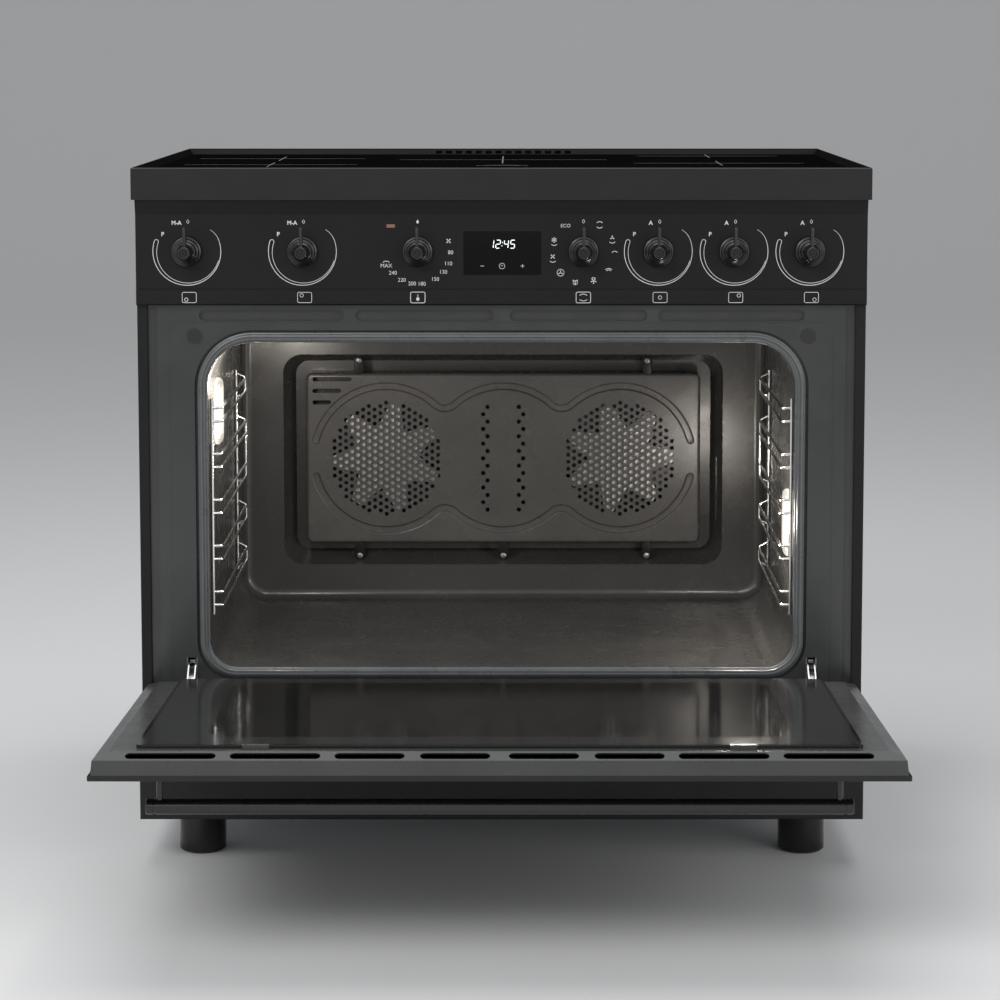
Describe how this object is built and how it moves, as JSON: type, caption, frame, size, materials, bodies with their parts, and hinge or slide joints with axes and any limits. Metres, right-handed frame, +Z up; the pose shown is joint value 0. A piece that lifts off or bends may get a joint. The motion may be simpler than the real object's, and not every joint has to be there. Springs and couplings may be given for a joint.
{
  "type": "induction range cooker",
  "caption": "Freestanding range cooker: induction hob with sunk glass, knob panel, wide convection oven with drop-down glazed door, side racks, storage drawer and round feet.",
  "frame": {"origin": "on the floor, at the middle of the box that holds the cooker with its door open", "axes": "+X to the right seen from the front, +Y from the front to the back, +Z up"},
  "size_m": [0.898, 1.084, 0.858],
  "materials": {
    "hob_enamel": "satin black enamel",
    "hob_glass": "polished black glass-ceramic",
    "panel_enamel": "matt black enamel",
    "side_enamel": "satin black enamel",
    "drawer_enamel": "matt black enamel",
    "door_enamel": "matt black enamel",
    "pan_enamel": "satin dark grey enamel",
    "frame_enamel": "satin black enamel",
    "cavity_enamel": "glossy dark grey enamel",
    "baffle_enamel": "glossy dark grey enamel",
    "zinc_sheet": "galvanised sheet",
    "carrier_plastic": "heat-resistant board",
    "coil_copper": "wound copper litz wire",
    "board_green": "circuit board",
    "display_glass": "polished black glass",
    "switch_plastic": "moulded black plastic",
    "lamp_lens": "orange lens",
    "foot_plastic": "glossy black",
    "gasket_rubber": "grey silicone",
    "buffer_rubber": "black rubber",
    "insulation_wool": "mineral wool",
    "heater_steel": "oxidised steel tube",
    "steel": "bright steel",
    "motor_metal": "die-cast",
    "lamp_glass": "pressed clear glass",
    "lamp_ceramic": "white ceramic",
    "bulb_glass": "lit bulb",
    "rack_chrome": "bright chromed wire",
    "fan_steel": "bright pressed sheet",
    "knob_metal": "satin black",
    "oven_glass": "coated clear glass",
    "middle_glass": "clear glass",
    "outer_glass": "tinted glass",
    "handle_metal": "satin black"
  },
  "bodies": {
    "cabinet": {"hob_frame": "hob_enamel", "hob_glass": "hob_glass", "coil_tray": "zinc_sheet", "coil_carriers": "carrier_plastic", "induction_coils": "coil_copper", "circuit_boards": "board_green", "control_panel": "panel_enamel", "lower_trim": "panel_enamel", "display_glass": "display_glass", "knob_switches": "switch_plastic", "indicator_lamp": "lamp_lens", "side_panel_right": "side_enamel", "side_panel_left": "side_enamel", "rear_panel": "zinc_sheet", "base_pan": "zinc_sheet", "heat_shields": "zinc_sheet", "feet": "foot_plastic", "front_frame": "frame_enamel", "door_gasket": "gasket_rubber", "door_buffers": "buffer_rubber", "cavity_liner": "cavity_enamel", "cavity_back": "cavity_enamel", "insulation": "insulation_wool", "oven_heaters": "heater_steel", "fan_baffle": "baffle_enamel", "baffle_screws": "steel", "fan_motors": "motor_metal", "lamp_covers": "lamp_glass", "lamp_holders": "lamp_ceramic", "lamp_bulbs": "bulb_glass", "rack_right": "rack_chrome", "rack_left": "rack_chrome", "grill_element": "heater_steel", "hinge_arms": "steel", "hinge_receivers": "zinc_sheet", "drawer_runners": "zinc_sheet", "terminal_box": "zinc_sheet", "cable_gland": "switch_plastic"},
    "door": {"door_skin": "door_enamel", "door_frame": "pan_enamel", "door_glass_outer": "outer_glass", "door_glass_middle": "middle_glass", "door_glass_inner": "oven_glass", "glass_clips": "pan_enamel", "hinge_boxes": "zinc_sheet", "hinge_pins": "steel", "door_springs": "steel", "handle_bar": "handle_metal", "handle_posts": "handle_metal"},
    "drawer": {"drawer_front": "drawer_enamel", "drawer_box": "zinc_sheet"},
    "knob_1": {"knob_1": "knob_metal"},
    "knob_2": {"knob_2": "knob_metal"},
    "knob_3": {"knob_3": "knob_metal"},
    "knob_4": {"knob_4": "knob_metal"},
    "knob_5": {"knob_5": "knob_metal"},
    "knob_6": {"knob_6": "knob_metal"},
    "knob_7": {"knob_7": "knob_metal"},
    "fan_left": {"fan_left": "fan_steel"},
    "fan_right": {"fan_right": "fan_steel"}
  },
  "joints": [
    {"name": "door_hinge", "type": "hinge", "parent": "cabinet", "child": "door", "pos_m": [0, -0.07798, 0.215], "axis": [-1, 0, 0], "range_deg": [0, 87]},
    {"name": "drawer_slide", "type": "slide", "parent": "cabinet", "child": "drawer", "axis": [0, -1, 0], "range_m": [0, 0.33]},
    {"name": "knob_1_turn", "type": "hinge", "parent": "cabinet", "child": "knob_1", "pos_m": [-0.3826, -0.07298, 0.756], "axis": [0, 1, 0], "range_deg": [-20, 300]},
    {"name": "knob_2_turn", "type": "hinge", "parent": "cabinet", "child": "knob_2", "pos_m": [-0.2421, -0.07298, 0.756], "axis": [0, 1, 0], "range_deg": [-20, 300]},
    {"name": "knob_3_turn", "type": "hinge", "parent": "cabinet", "child": "knob_3", "pos_m": [-0.1019, -0.07298, 0.756], "axis": [0, 1, 0], "range_deg": [0, 250]},
    {"name": "knob_4_turn", "type": "hinge", "parent": "cabinet", "child": "knob_4", "pos_m": [0.0997, -0.07298, 0.756], "axis": [0, 1, 0], "continuous": true},
    {"name": "knob_5_turn", "type": "hinge", "parent": "cabinet", "child": "knob_5", "pos_m": [0.1907, -0.07298, 0.756], "axis": [0, 1, 0], "range_deg": [-20, 300]},
    {"name": "knob_6_turn", "type": "hinge", "parent": "cabinet", "child": "knob_6", "pos_m": [0.2828, -0.07298, 0.756], "axis": [0, 1, 0], "range_deg": [-20, 300]},
    {"name": "knob_7_turn", "type": "hinge", "parent": "cabinet", "child": "knob_7", "pos_m": [0.375, -0.07298, 0.756], "axis": [0, 1, 0], "range_deg": [-20, 300]},
    {"name": "fan_left_spin", "type": "hinge", "parent": "cabinet", "child": "fan_left", "pos_m": [-0.1625, 0.43202, 0.433], "axis": [0, 1, 0], "continuous": true},
    {"name": "fan_right_spin", "type": "hinge", "parent": "cabinet", "child": "fan_right", "pos_m": [0.1625, 0.43202, 0.433], "axis": [0, 1, 0], "continuous": true}
  ]
}
